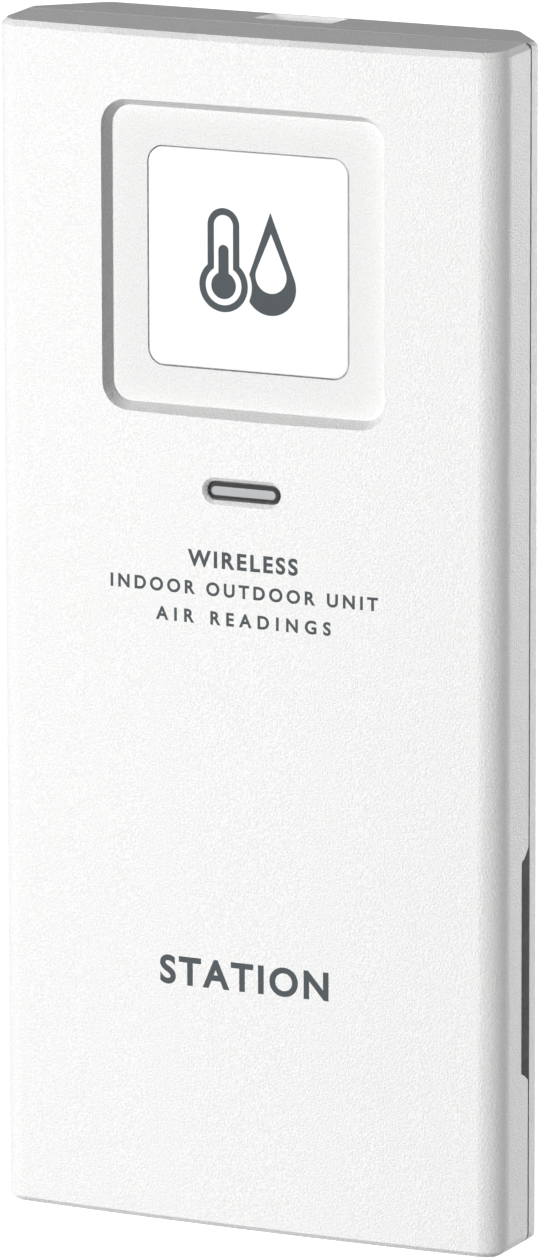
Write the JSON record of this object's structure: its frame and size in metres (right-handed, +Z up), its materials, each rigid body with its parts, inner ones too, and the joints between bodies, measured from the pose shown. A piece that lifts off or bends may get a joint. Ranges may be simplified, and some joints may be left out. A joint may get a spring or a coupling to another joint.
{
  "type": "wireless temperature and humidity sensor",
  "caption": "Slim upright wireless sensor case with a square window, a status light, side air vents and a battery door at the back.",
  "frame": {"origin": "middle of the base, under the centre of the bounding box", "axes": "+X to the right seen from the front, +Y to the back, +Z up"},
  "size_m": [0.0574, 0.017, 0.125],
  "materials": {
    "case": "fine matt grain",
    "window": "gloss",
    "light_pipe": "smoked translucent",
    "board": "solder mask",
    "chip": "moulded epoxy",
    "dark_plastic": "satin",
    "white_part": "satin",
    "steel": "bright zinc",
    "nickel": "nickel plate",
    "copper": "enamelled wire",
    "cell_jacket": "shrink film"
  },
  "bodies": {
    "case": {"front_case": "case", "rear_case": "case", "window_plate": "window", "light_pipe": "light_pipe", "vent_screen_left": "dark_plastic", "vent_screen_right": "dark_plastic", "main_board": "board", "status_led": "white_part", "microcontroller": "chip", "clock_crystal": "steel", "capacitor": "dark_plastic", "radio_module": "board", "radio_shield": "nickel", "antenna": "copper", "sensor_board": "board", "humidity_sensor": "chip", "sensor_header": "dark_plastic", "reset_switch_body": "dark_plastic", "channel_switch_body": "steel", "cell_left": "cell_jacket", "cell_right": "cell_jacket", "positive_contact": "nickel", "negative_contact": "nickel", "bridge_contact": "nickel", "lower_spring": "nickel", "upper_spring": "nickel", "case_screw_lower_left": "steel", "case_screw_upper_left": "steel", "case_screw_lower_right": "steel", "case_screw_upper_right": "steel", "board_screw_left": "steel", "board_screw_right": "steel"},
    "door": {"battery_door": "case"},
    "reset": {"reset_button": "white_part"},
    "channel": {"channel_knob": "dark_plastic"}
  },
  "joints": [
    {"name": "door_hinge", "type": "hinge", "parent": "case", "child": "door", "pos_m": [0, 0.0085, 0.007], "axis": [-1, 0, 0], "range_deg": [0, 75]},
    {"name": "reset_press", "type": "slide", "parent": "case", "child": "reset", "axis": [0, -1, 0], "range_m": [0, 0.0003], "stiffness_N_per_m": 4000},
    {"name": "channel_slide", "type": "slide", "parent": "case", "child": "channel", "axis": [1, 0, 0], "range_m": [-0.002, 0.002]}
  ]
}
